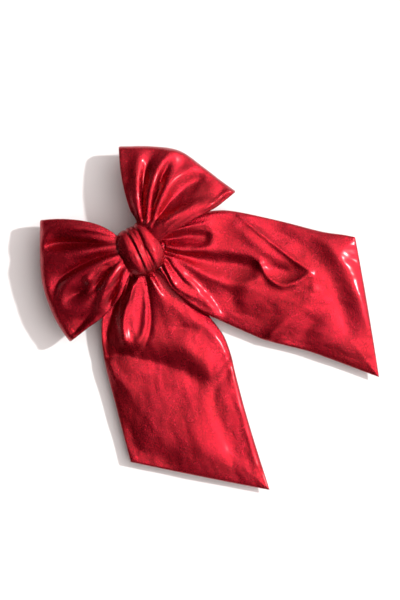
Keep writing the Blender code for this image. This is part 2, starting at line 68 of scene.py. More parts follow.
# A smooth line through the listed points; every column after the place (height, width) is eased too.
def smoothLine(points, steps=8):
    p = np.array(points, float)
    p = np.vstack([2 * p[0] - p[1], p, 2 * p[-1] - p[-2]])
    t = np.linspace(0, 1, steps, endpoint=False)[:, None]
    legs = []
    for a, b, c, d in zip(p[:-3], p[1:-2], p[2:-1], p[3:]):
        legs.append(
            b
            + 0.5 * (c - a) * t
            + (a - 2.5 * b + 2 * c - 0.5 * d) * t**2
            + (1.5 * (b - c) + 0.5 * (d - a)) * t**3
        )
    return np.vstack(legs + [p[-2][None, :]])


# The second column of a table as a smooth function of the first.
def eased(x, table):
    line = smoothLine(table, 12)
    return np.interp(x, line[:, 0], line[:, 1])


def lengthAlong(p):
    return np.concatenate([[0], np.cumsum(np.linalg.norm(np.diff(p, axis=0), axis=1))])


def easeStep(x, start, end):
    t = np.clip((x - start) / (end - start), 0, 1)
    return t * t * (3 - 2 * t)


# A quarter circle: 0 on the edge, full height once there is enough room.
def rounded(room, reach):
    return np.sqrt(1 - (1 - np.clip(room / reach, 0, 1)) ** 2)


# The same, with the fullness chosen by the power.
def filled(room, reach, power=2):
    return 1 - (1 - np.clip(room / reach, 0, 1)) ** power


# Even steps from -1 to 1, drawn closer together towards both ends.
def denserAtEnds(count, evenness):
    spacing = np.linspace(-1, 1, count)
    return (evenness * spacing + (1 - evenness) * np.sin(math.pi / 2 * spacing))[None, :]


# Height of the drawn folds at each place. A fold is a line of (x, y, height, half width);
# "edge" under 2 makes its crest sharper, and "lean" makes one side of it steeper.
def foldHeight(x, y, folds):
    total = np.zeros_like(x)
    for fold in folds:
        line = smoothLine(fold["line"], 6)
        a = line[:-1]
        b = line[1:]
        run = b[:, :2] - a[:, :2]
        along = (x[..., None] - a[:, 0]) * run[:, 0] + (y[..., None] - a[:, 1]) * run[:, 1]
        t = np.clip(along / np.maximum((run**2).sum(1), 1e-9), 0, 1)
        dx = x[..., None] - a[:, 0] - t * run[:, 0]
        dy = y[..., None] - a[:, 1] - t * run[:, 1]
        away = dx * dx + dy * dy
        near = away.argmin(-1)[..., None]
        share = np.take_along_axis(t, near, -1)[..., 0]
        near = near[..., 0]
        gap = np.sqrt(np.take_along_axis(away, near[..., None], -1)[..., 0])
        side = np.take_along_axis(run[:, 0] * dy - run[:, 1] * dx, near[..., None], -1)[..., 0]
        height = a[near, 2] + share * (b[near, 2] - a[near, 2])
        width = a[near, 3] + share * (b[near, 3] - a[near, 3])
        turned = np.tanh(side / (0.5 + np.abs(run).max()))
        width = width * (1 + fold.get("lean", 0) * turned)
        reach = np.sqrt((gap / width) ** 2 + 0.01)
        total += height * np.exp(-(reach ** fold.get("edge", 1.7)))
    return total


# Slow uneven swells, longer along one direction, so that no panel is perfectly smooth.
def swell(x, y, size, stretch, angle, seed):
    c = math.cos(angle)
    s = math.sin(angle)
    along = (x * c + y * s) / (size * stretch)
    across = (y * c - x * s) / size
    flat = np.array(
        [
            noise.noise((a, b, seed)) + 0.5 * noise.noise((2.1 * a, 2.1 * b, seed + 7))
            for a, b in zip(along.ravel(), across.ravel())
        ]
    )
    return flat.reshape(x.shape)


# Fabric gathers at the neck: many small uneven pleats, dying away from the knot.
def gathers(across, along, count, depth, reach, seed, room):
    turn = count * across + 0.9 * np.sin(2.3 * across + seed) + 0.5 * np.sin(5.1 * across + 2 * seed)
    wave = np.sin(math.pi * turn) + 0.35 * np.sin(math.pi * 1.9 * turn + seed)
    return depth * wave * np.clip(room / 24, 0.2, 1) * np.exp(-((along / reach) ** 1.5))


def unitNormals(points):
    du = np.gradient(points, axis=1)
    dv = np.gradient(points, axis=0)
    n = np.cross(du, dv)
    return n / np.maximum(np.linalg.norm(n, axis=2, keepdims=True), 1e-9)


def softened(points, passes, share=0.5):
    p = points.copy()
    for _ in range(passes):
        middle = (p[:-2, 1:-1] + p[2:, 1:-1] + p[1:-1, :-2] + p[1:-1, 2:]) / 4
        p[1:-1, 1:-1] += share * (middle - p[1:-1, 1:-1])
    return p


def smoothPiece(name, mesh):
    mesh.polygons.foreach_set("use_smooth", [True] * len(mesh.polygons))
    piece = bpy.data.objects.new(name, mesh)
    bpy.context.scene.collection.objects.link(piece)
    return piece


# Two skins sewn together round their rim. "ring" joins the first row to the last instead.
def twoSkins(name, upper, lower, ring=False):
    rows, cols = upper.shape[:2]
    index = np.arange(rows * cols).reshape(rows, cols)
    under = index + rows * cols
    under[:, 0] = index[:, 0]
    under[:, -1] = index[:, -1]
    if not ring:
        under[0] = index[0]
        under[-1] = index[-1]
    used, compact = np.unique(np.concatenate([index.ravel(), under.ravel()]), return_inverse=True)
    points = np.vstack([upper.reshape(-1, 3), lower.reshape(-1, 3)])[used] * mm
    index = compact[: rows * cols].reshape(rows, cols)
    under = compact[rows * cols :].reshape(rows, cols)
    faces = []
    places = []
    last = rows if ring else rows - 1
    for grid, flipped in ((index, False), (under, True)):
        for r in range(last):
            n = (r + 1) % rows
            for c in range(cols - 1):
                quad = [grid[r, c], grid[r, c + 1], grid[n, c + 1], grid[n, c]]
                spot = [(c, r), (c + 1, r), (c + 1, r + 1), (c, r + 1)]
                faces.append([int(i) for i in (quad[::-1] if flipped else quad)])
                places.append(spot[::-1] if flipped else spot)
    mesh = bpy.data.meshes.new(name)
    mesh.from_pydata([tuple(p) for p in points], [], faces)
    mesh.update()
    layer = mesh.uv_layers.new(name="strip")
    flat = np.array([s for spot in places for s in spot], float) / [cols - 1, rows - 1]
    layer.data.foreach_set("uv", flat.ravel())
    return smoothPiece(name, mesh)


# A map of the highest cloth over each square millimetre, for laying the next piece on top.
mapHalf = 210


def emptyMap():
    return np.full((2 * mapHalf, 2 * mapHalf), -50.0)


def squareOf(p):
    i = np.clip((p[:, 0] + mapHalf).astype(int), 0, 2 * mapHalf - 1)
    j = np.clip((p[:, 1] + mapHalf).astype(int), 0, 2 * mapHalf - 1)
    return i, j


def markMap(heights, points):
    p = points.reshape(-1, 3)
    np.maximum.at(heights, squareOf(p), p[:, 2])


def spread(heights, passes):
    for _ in range(passes):
        for axis in (0, 1):
            beside = np.maximum(np.roll(heights, 1, axis), np.roll(heights, -1, axis))
            heights = np.maximum(heights, beside)
    return heights


def blurred(heights, passes):
    for _ in range(passes):
        for axis in (0, 1):
            heights = (np.roll(heights, 1, axis) + 2 * heights + np.roll(heights, -1, axis)) / 4
    return heights


def readMap(heights, x, y):
    fx = np.clip(x + mapHalf - 0.5, 0, 2 * mapHalf - 2)
    fy = np.clip(y + mapHalf - 0.5, 0, 2 * mapHalf - 2)
    i = fx.astype(int)
    j = fy.astype(int)
    fx = fx - i
    fy = fy - j
    return (
        heights[i, j] * (1 - fx) * (1 - fy)
        + heights[i + 1, j] * fx * (1 - fy)
        + heights[i, j + 1] * (1 - fx) * fy
        + heights[i + 1, j + 1] * fx * fy
    )


# How far each point of a skin has to rise to clear the cloth below it, eased over a few millimetres.
def liftOver(heights, skin, gap):
    under = spread(heights, 2)
    wanted = np.zeros_like(heights)
    p = skin.reshape(-1, 3)
    rise = readMap(under, p[:, 0], p[:, 1]) + gap - p[:, 2]
    np.maximum.at(wanted, squareOf(p), np.maximum(rise, 0))
    return blurred(spread(wanted, 4), 6)


def linear(code):
    parts = [int(code[i : i + 2], 16) / 255 for i in (1, 3, 5)]
    return tuple(c / 12.92 if c <= 0.04045 else ((c + 0.055) / 1.055) ** 2.4 for c in parts) + (1.0,)


def addNode(tree, kind, settings=None, links=None):
    node = tree.nodes.new(kind)
    for key, value in (settings or {}).items():
        if isinstance(key, str) and hasattr(node, key):
            setattr(node, key, value)
        else:
            node.inputs[key].default_value = value
    for key, source in (links or {}).items():
        tree.links.new(source, node.inputs[key])
    return node


def newMaterial(name):
    material = bpy.data.materials.new(name)
    material.use_nodes = True
    tree = material.node_tree
    return material, tree, tree.nodes["Principled BSDF"]


def setRamp(node, stops):
    ramp = node.color_ramp
    while len(ramp.elements) < len(stops):
        ramp.elements.new(0.5)
    for element, (place, value) in zip(ramp.elements, stops):
        element.position = place
        element.color = value if isinstance(value, tuple) else (value, value, value, 1)


# Pattern scales are cells in a metre, and bump distances are metres. The pressed grain and the film's
# flakes are really a few tenths of a millimetre or less, which is too fine to show, so they are drawn
# 0.5 to 1 mm across. The creasing is about 6 mm across and the film's slow change of tone about 22 mm.
filmLook = {
    "deep": "#8a0717",
    "bright": "#a00d23",
    "fleck": "#e21a33",
    "fleckShare": 0.2,
    "grainScale": 1500.0,
    "dustScale": 1000.0,
    "fleckScale": 1800.0,
    "creaseScale": 170.0,
    "toneScale": 45.0,
    "creaseDepth": 0.0006,
    "grainDepth": 0.00016,
    "dustDepth": 0.00042,
    "roughness": 0.25,
    "metallic": 0.93,
    "coat": 0.22,
    "coatRoughness": 0.17,
    "coatIor": 1.5,
}


# Polyurethane leatherette with a metallised red film: a shiny satin skin with a fine pressed grain,
# tiny brighter flecks, and a pinkish white gloss where the film turns to the light.
def leatherette(name, look):
    material, tree, skin = newMaterial(name)
    place = addNode(tree, "ShaderNodeTexCoord").outputs["Object"]
    grain = addNode(
        tree,
        "ShaderNodeTexVoronoi",
        {"Scale": look["grainScale"], "feature": "SMOOTH_F1"},
        {"Vector": place},
    )
    dust = addNode(
        tree,
        "ShaderNodeTexNoise",
        {"Scale": look["dustScale"], "Detail": 4.0, "Roughness": 0.7},
        {"Vector": place},
    )
    creases = addNode(
        tree,
        "ShaderNodeTexNoise",
        {"Scale": look["creaseScale"], "Detail": 5.0, "Roughness": 0.6, "Distortion": 0.8},
        {"Vector": place},
    )
    tone = addNode(
        tree, "ShaderNodeTexNoise", {"Scale": look["toneScale"], "Detail": 3.0}, {"Vector": place}
    )
    fleck = addNode(tree, "ShaderNodeTexVoronoi", {"Scale": look["fleckScale"]}, {"Vector": place})
    fleckRamp = addNode(tree, "ShaderNodeValToRGB", links={"Fac": fleck.outputs["Color"]})
    setRamp(fleckRamp, [(0.3, 0.0), (0.9, 1.0)])
    toneRamp = addNode(tree, "ShaderNodeValToRGB", links={"Fac": tone.outputs["Fac"]})
    setRamp(toneRamp, [(0.3, linear(look["deep"])), (0.7, linear(look["bright"]))])
    soften = addNode(
        tree,
        "ShaderNodeMath",
        {"operation": "MULTIPLY", 1: look["fleckShare"]},
        {0: fleckRamp.outputs["Color"]},
    )
    lighter = addNode(
        tree,
        "ShaderNodeMix",
        {"data_type": "RGBA", 7: linear(look["fleck"])},
        {0: soften.outputs[0], 6: toneRamp.outputs["Color"]},
    )
    tree.links.new(lighter.outputs[2], skin.inputs["Base Color"])
    gloss = addNode(
        tree,
        "ShaderNodeMapRange",
        {"To Min": look["roughness"] - 0.06, "To Max": look["roughness"] + 0.08},
        {"Value": creases.outputs["Fac"]},
    )
    tree.links.new(gloss.outputs["Result"], skin.inputs["Roughness"])
    first = addNode(
        tree,
        "ShaderNodeBump",
        {"Strength": 0.3, "Distance": look["creaseDepth"]},
        {"Height": creases.outputs["Fac"]},
    )
    second = addNode(
        tree,
        "ShaderNodeBump",
        {"Strength": 0.7, "Distance": look["grainDepth"]},
        {"Height": grain.outputs["Distance"], "Normal": first.outputs["Normal"]},
    )
    third = addNode(
        tree,
        "ShaderNodeBump",
        {"Strength": 1.0, "Distance": look["dustDepth"]},
        {"Height": dust.outputs["Fac"], "Normal": second.outputs["Normal"]},
    )
    tree.links.new(third.outputs["Normal"], skin.inputs["Normal"])
    skin.inputs["Metallic"].default_value = look["metallic"]
    skin.inputs["Coat Weight"].default_value = look["coat"]
    skin.inputs["Coat Roughness"].default_value = look["coatRoughness"]
    skin.inputs["Coat IOR"].default_value = look["coatIor"]
    return material


# Nickel-plated spring steel: fine brushing along the clip, faint handling marks. Brush lines are finer
# than could show, so they are drawn 0.25 mm apart and 17 mm long, with marks 3 mm across.
def platedSteel(name, tint, rough):
    material, tree, skin = newMaterial(name)
    place = addNode(tree, "ShaderNodeTexCoord").outputs["Object"]
    streaks = addNode(tree, "ShaderNodeMapping", {"Scale": (60.0, 4000.0, 4000.0)}, {"Vector": place})
    brushing = addNode(
        tree, "ShaderNodeTexNoise", {"Scale": 1.0, "Detail": 4.0}, {"Vector": streaks.outputs[0]}
    )
    marks = addNode(tree, "ShaderNodeTexNoise", {"Scale": 300.0, "Detail": 6.0}, {"Vector": place})
    tone = addNode(tree, "ShaderNodeValToRGB", links={"Fac": marks.outputs["Fac"]})
    setRamp(tone, [(0.35, linear(tint)), (0.75, linear("#e4e2dd"))])
    tree.links.new(tone.outputs["Color"], skin.inputs["Base Color"])
    gloss = addNode(
        tree,
        "ShaderNodeMapRange",
        {"To Min": rough - 0.06, "To Max": rough + 0.12},
        {"Value": brushing.outputs["Fac"]},
    )
    tree.links.new(gloss.outputs["Result"], skin.inputs["Roughness"])
    bump = addNode(
        tree, "ShaderNodeBump", {"Strength": 0.2, "Distance": 0.00005}, {"Height": brushing.outputs["Fac"]}
    )
    tree.links.new(bump.outputs["Normal"], skin.inputs["Normal"])
    skin.inputs["Metallic"].default_value = 1.0
    return material


# Polyester sewing thread: twisted plies with a soft sheen. The fuzz is drawn 0.2 mm across, coarser than
# its single fibres.
def threadMaterial(name, colour):
    material, tree, skin = newMaterial(name)
    place = addNode(tree, "ShaderNodeTexCoord").outputs["Object"]
    fuzz = addNode(tree, "ShaderNodeTexNoise", {"Scale": 5000.0, "Detail": 4.0}, {"Vector": place})
    tone = addNode(tree, "ShaderNodeValToRGB", links={"Fac": fuzz.outputs["Fac"]})
    base = linear(colour)
    setRamp(tone, [(0.3, tuple(0.6 * c for c in base[:3]) + (1.0,)), (0.7, base)])
    tree.links.new(tone.outputs["Color"], skin.inputs["Base Color"])
    bump = addNode(
        tree, "ShaderNodeBump", {"Strength": 0.4, "Distance": 0.00008}, {"Height": fuzz.outputs["Fac"]}
    )
    tree.links.new(bump.outputs["Normal"], skin.inputs["Normal"])
    skin.inputs["Roughness"].default_value = 0.55
    skin.inputs["Sheen Weight"].default_value = 0.4
    return material


# Pressed wool felt: matted fibres, slightly mottled. Its tufts are drawn about 1 mm across, because single
# fibres are too fine to show.
def feltMaterial(name, deep, bright):
    material, tree, skin = newMaterial(name)
    place = addNode(tree, "ShaderNodeTexCoord").outputs["Object"]
    fibre = addNode(
        tree, "ShaderNodeTexNoise", {"Scale": 900.0, "Detail": 8.0, "Distortion": 1.5}, {"Vector": place}
    )
    tone = addNode(tree, "ShaderNodeValToRGB", links={"Fac": fibre.outputs["Fac"]})
    setRamp(tone, [(0.35, linear(deep)), (0.7, linear(bright))])
    tree.links.new(tone.outputs["Color"], skin.inputs["Base Color"])
    bump = addNode(
        tree, "ShaderNodeBump", {"Strength": 0.8, "Distance": 0.0003}, {"Height": fibre.outputs["Fac"]}
    )
    tree.links.new(bump.outputs["Normal"], skin.inputs["Normal"])
    skin.inputs["Roughness"].default_value = 0.95
    skin.inputs["Sheen Weight"].default_value = 0.6
    return material


film = leatherette("metallised_leatherette_pressed_grain", filmLook)
knotFilm = leatherette("metallised_leatherette_stretched", filmLook)
steel = platedSteel("nickel_plated_steel_brushed", "#b9b7b2", 0.26)
springSteel = platedSteel("bare_spring_steel_rolled", "#a5a5a6", 0.34)
redThread = threadMaterial("polyester_thread_twisted", "#8f1120")
redFelt = feltMaterial("wool_felt_pressed", "#5f0c18", "#8f1526")
print("materials made")


# A tail is a closed double strip. Its sides are (along the tail, across it) from the knot's middle.
tailShape = {
    "angle": 30,
    "rows": 240,
    "columns": 128,
    "up": [(0, 0.2), (16, 0.4), (30, 2.4), (55, 4.2), (90, 4.2), (140, 3.6), (185, 3.0)],
    "down": [(0, 0.2), (18, 0.3), (30, 0.8), (55, 4.6), (80, 6.8), (130, 6.4), (185, 5.8)],
    "rim": 0.7,
    "rimReach": 1.4,
    "puffReach": 26,
    "puffPower": 2.2,
    # over this much of the edge the folds fade to a quarter of their height
    "foldReach": 4.5,
    "start": 3.0,
    "endSlant": 25,
    "pleats": (4.5, 1.0, 38),
    "swellOver": (30, 70),
    "smallOver": (10, 40),
    "clear": 0.8,
    "thinnest": 1.2,
    "ground": 0.25,
}

rightTail = {
    "side": 1,
    "centre": [(0, 17.6), (15, 17.6), (32, 14.4), (55, 9.8), (80, 8.2), (130, 7.6), (185, 7.0)],
    "outer": [(0, 12), (8, 13.5), (20, 22), (32, 33), (44, 39.5), (59, 42.6), (91, 44.2), (120, 44.6),
              (143, 46.9), (190, 47)],
    "inner": [(0, -2.4), (12, -2.6), (16.4, -3.4), (17.2, -9.4), (22.5, -14.8), (29, -21.8), (40, -26.8),
              (52, -30.8), (66, -33.6), (90, -37.4), (103, -38.9), (131, -38.5), (151, -40), (184, -43.2)],
    "reach": (143, 184.5),
    "seed": 3.0,
    "folds": [
        # upper finger hollow beside the loop, its rim, and the ridge above it
        {"line": [(12, -4, -1.6, 1.6), (23, -12.4, -2.4, 2.6), (32, -19.3, -2.8, 3.8),
                  (38, -26, -2.2, 4.2)]},
        {"line": [(13, 0, 1.2, 1.6), (27, -8.4, 1.8, 2.4), (37, -14.6, 1.6, 3.0),
                  (46, -20, 0.8, 4.0)], "edge": 1.5},
        {"line": [(44, -23, 0.4, 3.6), (42, -30, 0.8, 3.4), (33, -32.5, 0.9, 2.8), (20, -22.5, 1.1, 2.0),
                  (12, -9, 1.0, 1.4)]},
        {"line": [(34, -3, 1.4, 3.0), (48, -12, 1.6, 4.0), (60, -24, 1.2, 5.0)]},
        # the wide oval hollow and its rims
        {"line": [(11, -13, -1.6, 1.5), (20, -28, -2.6, 3.0), (30, -43, -3.2, 5.2), (39, -54, -3.5, 6.6),
                  (45, -62, -2.8, 6.2)]},
        {"line": [(28, -29, 0.8, 3.0), (37, -37, 1.2, 4.0), (45, -48, 1.6, 4.6), (51, -58, 1.7, 4.2),
                  (52, -66, 1.6, 3.2)]},
        {"line": [(9, -15, 1.3, 1.6), (15, -27, 1.8, 2.4), (20, -46, 2.4, 4.2), (26, -59, 2.2, 4.8),
                  (34, -68.5, 2.0, 4.4), (43, -72.5, 1.8, 3.6)]},
        # crisp fold from the shoulder to the apex, the shallow facet left of it and the lit crescent below
        {"line": [(65, -33, 1.2, 1.6), (66.4, -49, 1.9, 1.8), (68.3, -64, 2.4, 2.0),
                  (70.2, -80, 2.7, 2.2), (72.8, -93, 2.0, 2.4)], "edge": 1.2},
        {"line": [(59, -36, 1.0, 5.0), (60.5, -56, 1.7, 5.4), (62, -70, 1.5, 5.4), (65, -80, 0.8, 4.0)]},
        {"line": [(57, -75, -0.9, 3.0), (60.5, -83, -1.2, 3.8), (66, -87, -0.7, 3.4)]},
        {"line": [(52, -66, 1.7, 2.2), (49.4, -77, 2.7, 2.5), (51.3, -87.0, 3.1, 2.7),
                  (58, -92.4, 3.1, 2.7), (66, -95, 2.5, 2.4), (72, -96, 1.1, 2.4)], "edge": 1.3},
        {"line": [(34, -74, 1.6, 9.0), (43, -92, 2.2, 9.0), (55, -103, 1.8, 8.0), (64, -105, 0.6, 6.0)]},
        # soft ridge from the apex back to the kink in the inner edge
        {"line": [(72.5, -97, 0.6, 3.6), (69.5, -102, 1.0, 4.6), (61, -108, 1.2, 5.0),
                  (48, -110, 1.4, 5.0), (35, -107.8, 1.6, 4.4), (24, -107.4, 2.0, 3.4),
                  (18.4, -108.4, 2.4, 2.4)], "edge": 1.5},
        {"line": [(78, -86, 0.5, 4.0), (78, -100, 0.7, 5.0), (76, -112, 0.4, 5.0)]},
        {"line": [(34, -97, -0.5, 5.0), (22.5, -99, -0.5, 4.0)]},
        # long shallow valley down the end panel, and the crest beyond it
        {"line": [(70, -43, -0.6, 5.0), (75.5, -60, -1.6, 6.0), (81, -80, -1.7, 6.6),
                  (80, -104, -1.4, 7.4), (70.5, -128, -1.8, 7.4), (62, -143, -1.2, 6.4)]},
        {"line": [(87, -62, 1.4, 5.6), (94.5, -85, 2.0, 6.2), (92, -109, 2.5, 6.8), (83, -133, 2.2, 6.4),
                  (75, -152, 1.4, 6.0)]},
        {"line": [(52, -146, 1.6, 9.0), (46, -138, 1.0, 8.0)]},
        {"line": [(49, -121, -1.6, 7.0), (38, -122, -1.6, 6.0), (31, -119, -1.2, 5.0)]},
        {"line": [(24, -67, -1.2, 6.0), (18, -78, -1.2, 6.0), (22, -90, -0.8, 6.0)]},
        # the small flap that turns under by the knot
        {"line": [(5, -19, 1.4, 1.6), (1.5, -28, 2.2, 2.2), (-1, -37, 1.8, 2.6), (1.5, -47, 1.2, 3.0)]},
        {"line": [(8, -19, -1.6, 1.4), (6, -30, -2.0, 1.8), (5.5, -41, -1.4, 2.2), (9, -54, -0.8, 3.2)]},
    ],
}

leftTail = {
    "side": -1,
    "centre": [(0, 15.8), (17, 15.8), (34, 12.4), (55, 9.4), (80, 8.2), (130, 7.6), (185, 7.0)],
    "outer": [(0, 12), (8, 13.5), (20, 22), (32, 33), (46, 40), (68, 43.9), (100, 44.4), (142, 44.6),
              (190, 45)],
    "inner": [(0, -3.4), (10, -3.8), (15.5, -4.6), (18, -10.5), (21, -15.5), (30, -21.5), (43, -28.5),
              (62, -36.5), (74, -41), (88, -42.4), (100, -42), (123, -41.8), (143, -42.2), (164, -43),
              (186, -44)],
    "reach": (142, 186),
    "seed": 11.0,
    "folds": [
        # the big finger out from under the knot: steep on its left, rolling down to a crease on its right
        {"line": [(-13, -13, 1.6, 2.0), (-24, -17.0, 2.6, 2.4), (-35, -22.0, 3.4, 2.9),
                  (-45, -29.0, 3.6, 3.3), (-51.5, -37.5, 2.6, 3.6)]},
        {"line": [(-16, -17, 0.8, 4.0), (-30, -27, 1.2, 7.5), (-42, -37.5, 1.4, 9.0)], "edge": 2.0},
        {"line": [(-19, -22, -0.4, 1.6), (-28.5, -30.5, -0.9, 2.8), (-38.5, -38.5, -1.0, 3.6),
                  (-45, -42, -0.6, 3.6)]},
        {"line": [(-16, -24.5, 0.8, 1.8), (-23.5, -31, 1.3, 2.6), (-33.5, -40, 1.6, 3.2),
                  (-42, -45, 1.4, 3.4), (-49, -46, 1.2, 3.6)]},
        {"line": [(-12, -18.5, -1.4, 1.2), (-21.8, -31.2, -2.2, 1.7), (-32.5, -42.6, -2.4, 2.0),
                  (-42.6, -48.4, -1.8, 2.4), (-50, -50.5, -1.2, 2.8)]},
        {"line": [(-19, -9.5, -2.0, 2.0), (-38.5, -14, -3.4, 3.6), (-54.6, -23.4, -3.2, 4.0),
                  (-63, -32, -1.6, 4.0)]},
        # the panel above steps down along a slanting line to the panel below
        {"line": [(-56, -34, 1.6, 5.0), (-45, -46, 1.8, 7.0), (-34, -58, 2.8, 9.0), (-26, -72, 3.2, 9.5),
                  (-23, -86, 2.4, 8.0)]},
        {"line": [(-70, -36.5, -1.6, 3.6), (-62, -42.5, -2.2, 4.2), (-55.5, -53, -2.6, 4.6),
                  (-47, -67, -2.4, 5.4), (-40, -81, -2.2, 6.0), (-36, -94, -1.6, 6.0)]},
        {"line": [(-71.5, -41, 1.6, 3.0), (-75, -51, 2.0, 4.6), (-75, -63, 1.2, 6.0)]},
        # upper panel beside the right tail: a lit roll along the edge that drops under it
        {"line": [(-9, -20, 1.4, 2.0), (-12, -36, 1.6, 4.0), (-12, -50, 1.6, 6.0), (-8, -62, 1.8, 5.4),
                  (-4.5, -73, 1.8, 4.6), (-7, -86, 1.4, 4.4), (-11, -97, 1.2, 3.8)]},
        {"line": [(-21, -57, -0.7, 2.0), (-16.7, -61.6, -1.0, 2.2), (-13, -66, -0.7, 2.0)]},
        {"line": [(-8.5, -97.5, 1.2, 3.0), (-17, -97.5, 1.1, 4.0), (-26, -97, 0.8, 5.0)]},
        {"line": [(-19, -104, -1.2, 4.0), (-32, -106, -1.8, 6.0), (-41, -117, -2.0, 7.0),
                  (-48, -130, -2.0, 7.0), (-55, -150, -1.4, 6.0)]},
        # the raised hem along the inner edge
        {"line": [(-14.5, -106, 1.4, 3.4), (-27, -129, 2.0, 4.4), (-38, -147, 2.0, 4.6),
                  (-48, -165, 1.6, 4.4)]},
        {"line": [(-60, -85, 1.4, 15.0), (-66, -108, 1.4, 16.0), (-68, -132, 1.0, 12.0)]},
        {"line": [(-95, -86, -1.2, 6.0), (-99, -99, -1.6, 7.0), (-91, -115, -1.4, 8.0)]},
    ],
}


def buildTail(name, tail, below):
    angle = math.radians(tailShape["angle"])
    side = tail["side"]
    u = denserAtEnds(tailShape["columns"], 0.45)
    spacing = np.linspace(0, 1, tailShape["rows"])
    v = (spacing - 0.09 * np.sin(2 * math.pi * spacing) / math.pi)[:, None]
    share = (u + 1) / 2
    start = tailShape["start"]
    reach = tail["reach"][1] + (tail["reach"][0] - tail["reach"][1]) * share
    along = start + v * (reach - start)
    inner = eased(along, tail["inner"])
    outer = eased(along, tail["outer"])
    across = inner + (outer - inner) * share
    x = side * (along * math.sin(angle) + across * math.cos(angle))
    y = -along * math.cos(angle) + across * math.sin(angle)
    # room left to the nearest sewn edge, for the rounded rim and the puff
    width = (outer - inner) / 2
    toSide = width * (1 - np.abs(u))
    toEnd = (reach - along) * math.cos(math.radians(tailShape["endSlant"]))
    room = np.minimum(toSide, toEnd)
    rim = tailShape["rim"] * rounded(room, tailShape["rimReach"])
    puff = filled(room, tailShape["puffReach"], tailShape["puffPower"])
    centre = eased(along, tail["centre"])
    seed = tail["seed"]
    centre = centre + 1.3 * swell(x, y, 46, 1.3, 0.6, seed) * easeStep(along, *tailShape["swellOver"])
    up = eased(along, tailShape["up"]) * puff + rim
    down = eased(along, tailShape["down"]) * puff + rim
    near = filled(room, tailShape["foldReach"])
    drawn = foldHeight(x, y, tail["folds"])
    pleats = gathers(u, along - start, *tailShape["pleats"], seed, width)
    lie = side * -1.05
    small = 0.32 * swell(x, y, 9, 2.2, lie, seed + 3) + 0.16 * swell(x, y, 3.6, 2.6, lie, seed + 5)
    relief = drawn + pleats + small * easeStep(along, *tailShape["smallOver"])
    top = centre + up + relief * (0.25 + 0.75 * near)
    # the edge itself follows part of the relief, as real cloth does
    edge = 0.25 * relief * (1 - near)
    bottom = centre - down + edge + 0.35 * pleats * near
    top = np.where(room <= 0, centre + edge, top)
    bottom = np.where(room <= 0, centre + edge, bottom)
    thickness = tailShape["thinnest"] * np.clip(room / 2, 0, 1)
    bottom = np.maximum(np.minimum(bottom, top - thickness), tailShape["ground"])
    top = np.maximum(top, bottom + thickness)
    upper = np.stack([x, y, top], 2)
    lower = np.stack([x, y, bottom], 2)
    upper = softened(upper, 3)
    if below is not None:
        lift = liftOver(below, lower, tailShape["clear"])
        rise = readMap(lift, x, y)
        upper[..., 2] += rise
        lower[..., 2] += rise
    for skin in (upper, lower):
        skin[:, 0] = (upper[:, 0] + lower[:, 0]) / 2
        skin[:, -1] = (upper[:, -1] + lower[:, -1]) / 2
    if side < 0:
        upper = upper[:, ::-1]
        lower = lower[:, ::-1]
    return twoSkins(name, upper[:, ::-1], lower[:, ::-1]), upper


clothTop = emptyMap()
leftTailPiece, tailTop = buildTail("left_tail_cloth", leftTail, None)
markMap(clothTop, tailTop)
rightTailPiece, tailTop = buildTail("right_tail_cloth", rightTail, clothTop)
markMap(clothTop, tailTop)
for piece, parts in (
    (leftTailPiece, ("left_tail_front", "left_tail_back")),
    (rightTailPiece, ("right_tail_front", "right_tail_back")),
):
    piece.data.materials.append(film)
    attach(piece, "bow")
    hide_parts(*parts)
print("tails made")


# A loop is a double strip folded back on itself. Its sides are (share of the way out, across).
loopShape = {
    "angle": 22,
    "columns": 92,
    "flatRows": 76,
    "bendRows": 16,
    "backRows": 40,
    "middle": [(0, 25.6), (0.2, 25.2), (0.6, 21.4), (1, 17.8)],
    "open": [(0, 2.4), (0.15, 3.0), (0.4, 5.0), (0.7, 5.4), (1, 4.0)],
    "puff": 2.6,
    "skin": 0.75,
    "rimReach": 1.2,
    "foldReach": 4,
    "start": 5.0,
    "pleats": (4.5, 0.7, 28),
    "calmOver": (12, 26),
    # the least room between the two layers, and the height that the lower one keeps anyway
    "between": 2.6,
    "lowest": 14.8,
    "belowBack": 1.8,
    "clear": 0.5,
}

